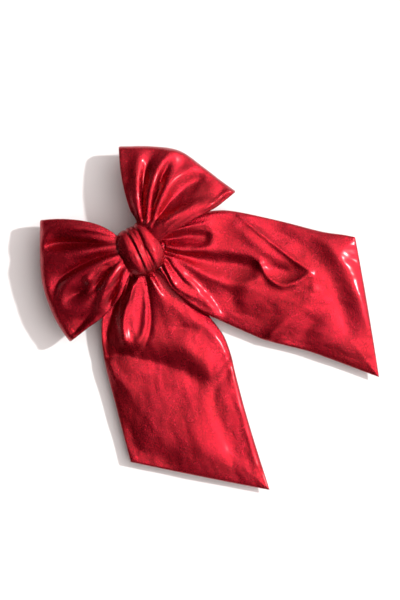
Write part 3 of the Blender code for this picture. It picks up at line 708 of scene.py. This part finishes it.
rightLoop = {
    "side": 1,
    "high": [(0, 7), (0.12, 7.6), (0.29, 10), (0.37, 17), (0.58, 27.3), (0.79, 35.4), (1, 41.8)],
    "low": [(0, -7), (0.14, -9), (0.28, -13.5), (0.48, -23), (0.73, -35.5), (0.88, -41), (1, -45)],
    "edge": [(-46, 62.3), (-44, 62.8), (-32, 65.4), (-17.8, 69.0), (2, 73.0), (20.8, 68.3), (40, 60.3),
             (44, 59.2)],
    "bend": 2.2,
    "seed": 21.0,
    "folds": [
        {"line": [(14, 12, 1.8, 1.8), (24, 25.5, 2.6, 3.0), (33, 34.5, 2.8, 4.0), (45, 45, 1.8, 6.5)]},
        {"line": [(16, 12, -2.0, 1.4), (26, 23, -3.2, 2.2), (36, 32, -3.6, 3.0), (45, 38, -1.8, 4.0)]},
        {"line": [(15.5, 15, 1.2, 1.3), (20, 25, 1.2, 1.8), (26, 35, 0.7, 2.6)]},
        {"line": [(16, 8.5, 2.0, 1.6), (27, 17.5, 3.4, 2.3), (36, 24, 4.2, 3.0), (47, 29, 4.4, 3.8),
                  (58, 31.5, 3.6, 4.4), (66, 30, 1.6, 4.0)], "edge": 1.5},
        {"line": [(19, 7.4, -2.2, 1.4), (29, 14.4, -3.2, 1.8), (39, 19.5, -3.6, 2.2),
                  (46, 24.5, -3.0, 2.6), (54, 27, -1.8, 3.0)]},
        {"line": [(25.7, 11.9, 1.2, 1.4), (40, 17.2, 1.6, 2.0), (50, 20.5, 1.6, 2.4), (62, 26, 1.0, 3.4)]},
        {"line": [(16.5, 5.8, 1.6, 1.6), (32, 11.9, 2.4, 2.4), (42, 15, 2.6, 3.2), (50, 16.6, 2.4, 3.6),
                  (58, 15.6, 2.0, 4.2), (66, 11, 1.4, 4.4), (68.5, 3, 0.8, 4.4)]},
        {"line": [(19, 4.4, -1.4, 1.6), (33, 7.4, -2.2, 2.8), (45, 8.2, -2.8, 4.4), (56, 7, -3.0, 5.4),
                  (63, 4.6, -2.4, 5.0)]},
        {"line": [(18, 1.0, 1.4, 2.2), (33, -1.5, 2.0, 4.0), (48, -5, 2.2, 6.0), (62, -9, 1.6, 7.0)]},
        {"line": [(76, -18.6, 1.2, 1.2), (69, -14.8, 1.6, 1.4), (61, -14.4, 1.6, 1.4),
                  (51, -12.6, 1.0, 1.6)], "edge": 1.6},
        {"line": [(66, -17.2, -0.9, 1.1), (58, -16.6, -0.9, 1.1)]},
    ],
}

leftLoop = {
    "side": -1,
    "high": [(0, 7), (0.1, 9), (0.19, 13.6), (0.26, 20.8), (0.38, 28.2), (0.56, 35.4), (0.78, 41.6),
             (1, 46)],
    "low": [(0, -7), (0.12, -9.5), (0.22, -14.5), (0.38, -25.3), (0.6, -32.6), (0.8, -36), (1, -39.7)],
    "edge": [(-41, 69.2), (-39.7, 69.5), (-30, 71.6), (-17, 72.9), (1, 71.8), (19, 66.9), (46, 55.7),
             (48, 54.6)],
    "bend": 3.4,
    "seed": 33.0,
    "folds": [
        # the long hollow under the upper band, then the fan of ridges out to the rim
        {"line": [(-10, 14.6, -1.6, 1.5), (-18, 22.5, -3.6, 2.6), (-26, 32, -5.4, 3.8),
                  (-35, 41, -5.6, 4.6), (-43, 46.5, -3.0, 4.0)], "lean": 0.3},
        {"line": [(-7, 20, 1.4, 1.8), (-13, 31, 2.4, 2.6), (-22, 42.5, 2.8, 3.4), (-34, 52, 2.2, 4.0),
                  (-46, 50, 1.2, 4.0)]},
        {"line": [(-9, 11.5, 1.8, 1.6), (-21.3, 20.8, 2.8, 2.6), (-35, 30, 3.0, 4.0),
                  (-48, 38.5, 2.2, 5.4), (-58, 40, 1.0, 5.6)]},
        {"line": [(-14, 11.0, -0.7, 0.9), (-26, 19.4, -0.8, 1.3), (-38, 26.5, -0.5, 2.0)]},
        # the dark arc and the ridge that bends round the oval dent
        {"line": [(-11.8, 7.8, -1.8, 1.1), (-22.7, 14.4, -3.2, 1.8), (-33, 19.0, -4.2, 2.6),
                  (-44, 22.4, -4.4, 3.2), (-55, 23.6, -3.4, 3.6), (-64, 20, -1.6, 3.6)]},
        {"line": [(-13, 6.0, 1.6, 1.3), (-24, 10.6, 2.6, 1.9), (-34, 14.6, 2.6, 2.2),
                  (-46, 17.6, 2.4, 2.4), (-57, 17.2, 2.0, 2.8), (-65, 11, 1.2, 3.4),
                  (-63.4, 3.4, 1.4, 3.4), (-55, -0.8, 1.8, 2.8), (-45, -0.4, 1.4, 2.4)], "edge": 1.5},
        {"line": [(-45, 7.0, -2.2, 2.2), (-51, 8.2, -3.4, 3.2), (-57, 9.8, -2.0, 4.2),
                  (-63, 12, -0.9, 5.0)]},
        {"line": [(-28, 8.6, 1.0, 1.8), (-35, 10.4, 2.0, 2.1), (-40.0, 10.2, 3.4, 2.3)]},
        {"line": [(-16, 3.0, -1.4, 0.9), (-27, 4.4, -2.4, 1.4), (-36, 3.2, -2.4, 1.8),
                  (-43, 1.8, -1.2, 2.2)]},
        # the round finger below the dent
        {"line": [(-14, 2.2, 1.8, 1.6), (-22, 1.2, 2.8, 2.3), (-31, -1.0, 3.6, 3.0),
                  (-40.5, -5.2, 4.2, 3.4), (-47.5, -9.4, 3.2, 3.4)]},
        {"line": [(-18, -2.4, -1.4, 1.1), (-28, -6.6, -2.6, 1.6), (-37, -10.8, -2.4, 1.8),
                  (-43, -14.6, -1.4, 2.0)]},
        {"line": [(-17, -5, 1.0, 1.6), (-27, -10, 1.4, 1.8), (-38, -15, 0.8, 2.0)]},
        {"line": [(-53, -7, -1.6, 3.2), (-62, -7.8, -2.8, 4.2), (-71, -9.6, -2.2, 4.0)]},
        {"line": [(-77, -11.6, 1.2, 2.0), (-66, -12.8, 1.6, 2.0), (-56, -14.6, 1.4, 2.0)]},
    ],
}


def buildLoop(name, loop, below):
    angle = math.radians(loopShape["angle"])
    side = loop["side"]
    u = denserAtEnds(loopShape["columns"], 0.45)
    share = (u + 1) / 2
    lowEnd = loop["low"][-1][1]
    highEnd = loop["high"][-1][1]
    edge = eased(lowEnd + (highEnd - lowEnd) * share, loop["edge"])
    bend = loop["bend"]
    start = loopShape["start"]

    # one row of the strip at a time: how far out it is, which layer it is in, how much it faces up
    strip = []
    for t in np.linspace(0, 1, loopShape["flatRows"]):
        strip.append((start + (edge - bend - start) * t, 1.0, 1.0))
    for turn in np.linspace(0, math.pi, loopShape["bendRows"] + 2)[1:-1]:
        strip.append((edge - bend + bend * math.sin(turn), math.cos(turn), 0.5 + 0.5 * math.cos(turn)))
    for t in np.linspace(1, 0, loopShape["backRows"]):
        strip.append((start + (edge - bend - start) * t, -1.0, 0.0))
    out = []
    height = []
    across = []
    front = []
    for along, layer, facing in strip:
        near = along / edge
        out.append(along)
        across.append(eased(near, loop["low"]) * (1 - share) + eased(near, loop["high"]) * share)
        height.append(eased(near, loopShape["middle"]) + eased(near, loopShape["open"]) * layer)
        front.append(np.full_like(along, facing))
    out = np.vstack(out)
    across = np.vstack(across)
    height = np.vstack(height)
    front = np.vstack(front)
    x = side * (out * math.cos(angle) - across * math.sin(angle))
    y = out * math.sin(angle) + across * math.cos(angle) - 1
    seed = loop["seed"]
    away = out / edge
    puff = loopShape["puff"] * (1 - u**2) * np.sin(math.pi * np.clip(away, 0, 1) ** 0.8)
    room = (1 - np.abs(u)) * 40 * away
    near = filled(room, loopShape["foldReach"])
    drawn = foldHeight(x, y, loop["folds"])
    wide = (eased(away, loop["high"]) - eased(away, loop["low"])) / 2
    pleats = gathers(u, out - start, *loopShape["pleats"], seed, wide)
    lie = side * 0.38
    small = 0.3 * swell(x, y, 7, 2.4, lie, seed + 2) + 0.14 * swell(x, y, 3.0, 2.6, lie, seed + 4)
    back = 0.8 * swell(x, y, 10, 3.0, lie, seed + 9) + 1.6 * pleats
    calm = 0.35 + 0.65 * easeStep(np.hypot(x, y), *loopShape["calmOver"])
    relief = front**1.5 * calm * (drawn * (0.35 + 0.65 * near) + pleats + small)
    relief = relief + (1 - front) ** 1.5 * back
    height = height + (2 * front - 1) * puff + relief
    # the back never rises into the front
    centre = np.stack([x, y, height], 2)
    rows = loopShape["backRows"]
    roof = -emptyMap()
    p = centre[: loopShape["flatRows"]].reshape(-1, 3)
    np.minimum.at(roof, squareOf(p), p[:, 2])
    roof = -spread(-roof, 1)
    limit = readMap(roof, centre[-rows:, :, 0], centre[-rows:, :, 1]) - loopShape["between"]
    centre[-rows:, :, 2] = np.minimum(centre[-rows:, :, 2], np.maximum(limit, loopShape["lowest"]))
    sole = centre[loopShape["flatRows"] :].copy()
    sole[..., 2] -= loopShape["belowBack"]
    lift = liftOver(below, sole, loopShape["clear"])
    centre[..., 2] += readMap(lift, x, y)
    centre = softened(centre, 3)
    normal = unitNormals(centre) * side
    rim = rounded((1 - np.abs(u)) * 30, loopShape["rimReach"])
    half = (loopShape["skin"] * rim + 0.25 * (1 - u**2))[..., None]
    outer = centre + normal * half
    inner = centre - normal * half
    outer[0] = inner[0] = centre[0]
    outer[-1] = inner[-1] = centre[-1]
    if side < 0:
        outer = outer[:, ::-1]
        inner = inner[:, ::-1]
    return twoSkins(name, outer, inner)


rightLoopPiece = buildLoop("right_loop_cloth", rightLoop, clothTop)
leftLoopPiece = buildLoop("left_loop_cloth", leftLoop, clothTop)
for piece, parts in (
    (rightLoopPiece, ("right_loop_outer", "right_loop_lining")),
    (leftLoopPiece, ("left_loop_outer", "left_loop_lining")),
):
    piece.data.materials.append(film)
    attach(piece, "bow")
    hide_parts(*parts)
print("loops made")


knotShape = {
    "rows": 220,
    "columns": 150,
    # the band's path round the waist and under the plate: (y, z), front face first
    "path": [(0, 35.3), (7.8, 34.8), (13.4, 32.2), (15.8, 26.5), (15.2, 19.5), (11.6, 13.6), (6.5, 10.2),
             (0, 10.1), (-6.5, 10.2), (-12.6, 13.6), (-17.2, 19.5), (-18.0, 26.2), (-15.2, 32.0),
             (-8.8, 34.8)],
    "frontHalf": 14.2,
    "legHalf": 3.8,
    # heights over which the band widens, turns, swells and takes its folds, going up to its front
    "front": (14, 29),
    "turnsOver": (12, 24),
    "crownOver": (26, 33),
    "foldsOver": (18, 27),
    "crown": 1.2,
    "sag": 3.4,
    "sagPower": 3.5,
    "skin": 0.34,
    "frontSkin": 0.4,
    "rimReach": 1.4,
    "turned": -15,
    "folds": [
        # two broad outer turns of the band and the narrow pleats squeezed between them
        {"line": [(-2, 15, 0.6, 3.4), (-6, 5, 1.0, 4.6), (-8.5, -3, 1.1, 5.0), (-11, -11, 0.8, 4.0)]},
        {"line": [(11, 13, 0.8, 2.6), (10.4, 5, 1.2, 3.6), (8, -4, 1.2, 4.0), (3.4, -12, 1.0, 3.2),
                  (0.5, -16, 0.8, 2.6)]},
        {"line": [(2.2, 16, -0.7, 0.9), (-0.5, 6, -1.0, 1.0), (-3.3, -2.4, -1.1, 1.0),
                  (-8.0, -14.3, -0.9, 1.0)]},
        {"line": [(5.4, 16, -0.4, 0.8), (4.2, 8, -0.5, 0.8), (1.8, 0.9, -0.5, 0.8),
                  (-4.9, -13, -0.4, 0.8)]},
        {"line": [(3.4, 15, 0.4, 1.0), (1.4, 6, 0.9, 1.3), (-1.2, -1.5, 1.1, 1.4), (-6.2, -14, 0.7, 1.1)]},
        {"line": [(8, 17, -1.2, 1.0), (7.4, 9, -1.5, 1.1), (4.6, 1.4, -1.5, 1.1), (0.8, -5, -1.3, 1.0),
                  (-3.6, -17, -1.0, 1.0)]},
        {"line": [(3.4, -3, -0.5, 0.8), (1.4, -9, -0.8, 0.9), (-1.2, -16, -0.7, 0.9)]},
        {"line": [(3.0, 1, 0.4, 0.9), (-0.2, -7, 0.8, 1.1), (-3.0, -15, 0.6, 1.1)]},
    ],
}


def buildKnot(name):
    path = np.array(knotShape["path"], float)
    count = len(path)
    steps = 12
    loop = smoothLine(np.vstack([path[-2:], path, path[:3]]), steps)[2 * steps : (count + 2) * steps]
    closed = np.vstack([loop, loop[:1]])
    gone = lengthAlong(closed)
    want = np.linspace(0, gone[-1], knotShape["rows"], endpoint=False)
    y = np.interp(want, gone, closed[:, 0])[:, None]
    z = np.interp(want, gone, closed[:, 1])[:, None]
    u = denserAtEnds(knotShape["columns"], 0.35)
    front = easeStep(z, *knotShape["front"])
    width = knotShape["legHalf"] + (knotShape["frontHalf"] - knotShape["legHalf"]) * front
    width = width - 2.2 * front * np.clip(np.abs(y + 0.8) / 16, 0, 1) ** 2.5
    ny = -(np.roll(z, -1, 0) - np.roll(z, 1, 0))
    nz = np.roll(y, -1, 0) - np.roll(y, 1, 0)
    size = np.sqrt(ny**2 + nz**2)
    ny = ny / size
    nz = nz / size
    turned = math.radians(knotShape["turned"]) * easeStep(z, *knotShape["turnsOver"])
    across = u * width
    y = y + 0 * u
    z = z + 0 * u
    x = across * np.cos(turned) - y * np.sin(turned)
    away = across * np.sin(turned) + y * np.cos(turned)
    crown = knotShape["crown"] * (1 - u**2) * easeStep(z, *knotShape["crownOver"])
    sag = knotShape["sag"] * np.abs(u) ** knotShape["sagPower"] * front
    relief = foldHeight(x, away, knotShape["folds"]) * easeStep(z, *knotShape["foldsOver"])
    relief = relief + 0.2 * swell(x, away + z, 3.2, 3.0, 1.25, 5.0) * easeStep(z, 14, 22)
    out = crown + relief - sag + knotShape["skin"] + 0.3 * front
    leanX = -ny * np.sin(turned)
    leanY = ny * np.cos(turned)
    centre = np.stack([x + leanX * out, away + leanY * out, z + nz * out], 2)
    lap = 5
    around = softened(np.concatenate([centre[-lap:], centre, centre[:lap]]), 4)
    normal = unitNormals(around)[lap:-lap]
    outer = around[lap:-lap]
    outside = np.stack([leanX + 0 * x, leanY + 0 * x, nz + 0 * x], 2)
    sense = np.sign((normal * outside).sum())
    rim = rounded((1 - np.abs(u)) * 14, knotShape["rimReach"])
    half = ((knotShape["skin"] + knotShape["frontSkin"] * front) * rim)[..., None]
    # the folds are on the outer face, and the thickness goes inwards
    inner = outer - 2 * normal * half * sense
    if sense < 0:
        outer = outer[:, ::-1]
        inner = inner[:, ::-1]
    return twoSkins(name, outer, inner, ring=True)


knotPiece = buildKnot("knot_cloth")
knotPiece.data.materials.append(knotFilm)
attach(knotPiece, "bow")
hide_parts("knot_wrap")
print("knot made")


# A twisted thread of three plies along a line of points.
def threadPiece(name, points, radius, pitch, closed=False):
    p = np.array(points, float)
    ahead = np.roll(p, -1, 0) - np.roll(p, 1, 0) if closed else np.gradient(p, axis=0)
    ahead = ahead / np.linalg.norm(ahead, axis=1, keepdims=True)
    guide = np.array([0.0, 0.0, 1.0])
    sideways = np.cross(ahead, guide)
    weak = np.linalg.norm(sideways, axis=1) < 0.2
    sideways[weak] = np.cross(ahead[weak], [0.0, 1.0, 0.0])
    sideways = sideways / np.linalg.norm(sideways, axis=1, keepdims=True)
    upward = np.cross(sideways, ahead)
    gone = lengthAlong(p)
    corners = 18
    turn = np.linspace(0, 2 * math.pi, corners, endpoint=False)
    twist = turn[None, :] + 2 * math.pi * gone[:, None] / pitch
    size = radius * (0.82 + 0.18 * np.abs(np.cos(1.5 * twist)))
    ring = (
        p[:, None]
        + (np.cos(turn)[None, :] * size)[..., None] * sideways[:, None]
        + (np.sin(turn)[None, :] * size)[..., None] * upward[:, None]
    )
    count = len(p)
    faces = []
    for r in range(count if closed else count - 1):
        for k in range(corners):
            a = r * corners
            b = (r + 1) % count * corners
            n = (k + 1) % corners
            faces.append((a + k, a + n, b + n, b + k))
    if not closed:
        faces.append(tuple(range(corners))[::-1])
        faces.append(tuple((count - 1) * corners + k for k in range(corners)))
    mesh = bpy.data.meshes.new(name)
    mesh.from_pydata([tuple(v * mm) for v in ring.reshape(-1, 3)], [], faces)
    mesh.update()
    piece = smoothPiece(name, mesh)
    piece.data.materials.append(redThread)
    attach(piece, "bow")
    return piece


binding = {"radius": 0.3, "pitch": 1.6, "turns": 5, "steps": 420, "power": 0.8}
stitch = {"radius": 0.3, "pitch": 1.4, "steps": 64, "power": 0.55}


# Turns round a squared ring that fills the box of a CAD piece; "travel" runs from -1 to 1 along the box.
def ringInBox(node, shape, turn, travel):
    lowest, highest = [np.array(corner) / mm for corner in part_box(node)]
    middle = (lowest + highest) / 2
    reach = (highest - lowest) / 2 - shape["radius"]
    ring = [middle[0] + travel * reach[0]]
    for axis, wave in ((1, np.cos(turn)), (2, np.sin(turn))):
        ring.append(middle[axis] + reach[axis] * np.sign(wave) * np.abs(wave) ** shape["power"])
    return np.stack(ring, 1)


# The waist is bound with a few turns of thread.
share = np.linspace(0, 1, binding["steps"])
turn = share * binding["turns"] * 2 * math.pi
line = ringInBox("gather_thread", binding, turn, 2 * share - 1)
piece = threadPiece("waist_binding", line, binding["radius"], binding["pitch"])
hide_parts("gather_thread")

for node in sorted(n for n in nodes if n.startswith("pad_stitch")):
    turn = np.linspace(0, 2 * math.pi, stitch["steps"], endpoint=False)
    line = ringInBox(node, stitch, turn, 0 * turn)
    piece = threadPiece(node + "_thread", line, stitch["radius"], stitch["pitch"], closed=True)
    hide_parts(node)


felt = {"voxel": 0.3, "merge": 0.02, "fuzz": 0.08, "fuzzScale": 1400}


# The felt strip: a soft-edged pad with a matted surface, sewn down on the plate.
def buildPad():
    source = nodes["backing_pad"]
    pad = source.copy()
    pad.data = source.data.copy()
    pad.name = "felt_strip"
    pad.data.name = "felt_strip"
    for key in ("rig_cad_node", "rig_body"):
        if key in pad:
            del pad[key]
    bpy.context.scene.collection.objects.link(pad)
    pad.parent = None
    weld = pad.modifiers.new("weld", "WELD")
    weld.merge_threshold = felt["merge"] * mm
    split = pad.modifiers.new("remesh", "REMESH")
    split.mode = "VOXEL"
    split.voxel_size = felt["voxel"] * mm
    soft = pad.modifiers.new("soft", "SMOOTH")
    soft.factor = 0.5
    soft.iterations = 4
    bpy.context.view_layer.update()
    graph = bpy.context.evaluated_depsgraph_get()
    mesh = bpy.data.meshes.new_from_object(pad.evaluated_get(graph))
    pad.modifiers.clear()
    pad.data = mesh
    points = np.empty(len(mesh.vertices) * 3)
    mesh.vertices.foreach_get("co", points)
    points = points.reshape(-1, 3)
    normals = np.array([v.normal for v in mesh.vertices])
    fuzz = np.array([noise.noise(Vector(p) * felt["fuzzScale"]) for p in points])
    points = points + normals * ((fuzz - 1) * felt["fuzz"] * mm)[:, None]
    mesh.vertices.foreach_set("co", points.ravel())
    mesh.polygons.foreach_set("use_smooth", [True] * len(mesh.polygons))
    mesh.materials.clear()
    mesh.materials.append(redFelt)
    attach(pad, "bow")
    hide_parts("backing_pad")
    return pad


pad = buildPad()
print("thread and felt made")

# Every CAD piece that still shows is steel, and its stamped edges are slightly rounded.
worn = {"width": 0.1, "segments": 2, "angle": 40}
for name in nodes:
    if nodes[name].hide_render:
        continue
    nodes[name].data.materials.clear()
    nodes[name].data.materials.append(springSteel if name == "clip_tension_bar" else steel)
    bevel = nodes[name].modifiers.new("edge", "BEVEL")
    bevel.width = worn["width"] * mm
    bevel.segments = worn["segments"]
    bevel.limit_method = "ANGLE"
    bevel.angle_limit = math.radians(worn["angle"])
print("steel finished")

stage = {
    "floor": 3.0,
    "sunFrom": (0.884, -0.46),
    "sunHeight": 42,
    "sunAngle": 3.0,
    "sunPower": 2.6,
    "fill": 1.06,
    "fillStops": [(0.0, 0.012), (0.35, 0.14), (0.62, 0.94), (0.95, 2.1)],
    "fillFrom": (0.62, -0.32, 0.72),
    "fillTint": (1.0, 0.925, 0.91, 1.0),
    "middle": (4.5, -54.9),
    "distance": 2.4,
    "tall": 0.42,
    "turned": -45,
    "sensor": 36,
}

mesh = bpy.data.meshes.new("floor")
half = stage["floor"] / 2
corners = [(-half, -half, 0), (half, -half, 0), (half, half, 0), (-half, half, 0)]
mesh.from_pydata(corners, [], [(0, 1, 2, 3)])
floor = bpy.data.objects.new("floor", mesh)
bpy.context.scene.collection.objects.link(floor)
floor.location.z = -0.0002
# Matt white painted board: nearly plain, with a very faint tone in it.
board, tree, skin = newMaterial("white_painted_board")
tone = addNode(tree, "ShaderNodeTexNoise", {"Scale": 6.0, "Detail": 2.0})
ramp = addNode(tree, "ShaderNodeValToRGB", links={"Fac": tone.outputs["Fac"]})
setRamp(ramp, [(0.2, linear("#f4f2f2")), (0.8, linear("#f8f7f6"))])
tree.links.new(ramp.outputs["Color"], skin.inputs["Base Color"])
skin.inputs["Roughness"].default_value = 0.9
skin.inputs["Specular IOR Level"].default_value = 0.1
mesh.materials.append(board)

lamp = bpy.data.lights.new("key", "SUN")
lamp.energy = stage["sunPower"]
lamp.angle = math.radians(stage["sunAngle"])
key = bpy.data.objects.new("key", lamp)
bpy.context.scene.collection.objects.link(key)
rise = math.radians(stage["sunHeight"])
sunX, sunY = stage["sunFrom"]
toSun = Vector((sunX * math.cos(rise), sunY * math.cos(rise), math.sin(rise)))
key.rotation_mode = "QUATERNION"
key.rotation_quaternion = toSun.to_track_quat("Z", "Y")

world = bpy.data.worlds.new("studio")
bpy.context.scene.world = world
world.use_nodes = True
tree = world.node_tree
tree.nodes.clear()
place = addNode(tree, "ShaderNodeTexCoord").outputs["Generated"]
toRight = addNode(
    tree,
    "ShaderNodeVectorMath",
    {"operation": "DOT_PRODUCT", 1: stage["fillFrom"]},
    {0: place},
)
ramp = addNode(tree, "ShaderNodeValToRGB", links={"Fac": toRight.outputs["Value"]})
setRamp(ramp, stage["fillStops"])
warm = addNode(
    tree,
    "ShaderNodeMix",
    {"data_type": "RGBA", "blend_type": "MULTIPLY", 0: 1.0, 7: stage["fillTint"]},
    {6: ramp.outputs["Color"]},
)
back = addNode(tree, "ShaderNodeBackground", {"Strength": stage["fill"]}, {"Color": warm.outputs[2]})
addNode(tree, "ShaderNodeOutputWorld", links={"Surface": back.outputs["Background"]})

lens = bpy.data.cameras.new("camera")
camera = bpy.data.objects.new("camera", lens)
bpy.context.scene.collection.objects.link(camera)
lens.sensor_width = stage["sensor"]
lens.lens = stage["sensor"] * stage["distance"] / stage["tall"]
lens.clip_end = 20
camera.location = (stage["middle"][0] * mm, stage["middle"][1] * mm, stage["distance"])
camera.rotation_euler = (0, 0, math.radians(stage["turned"]))
bpy.context.scene.camera = camera
bpy.context.scene.view_settings.view_transform = "Standard"

print("scene ready")
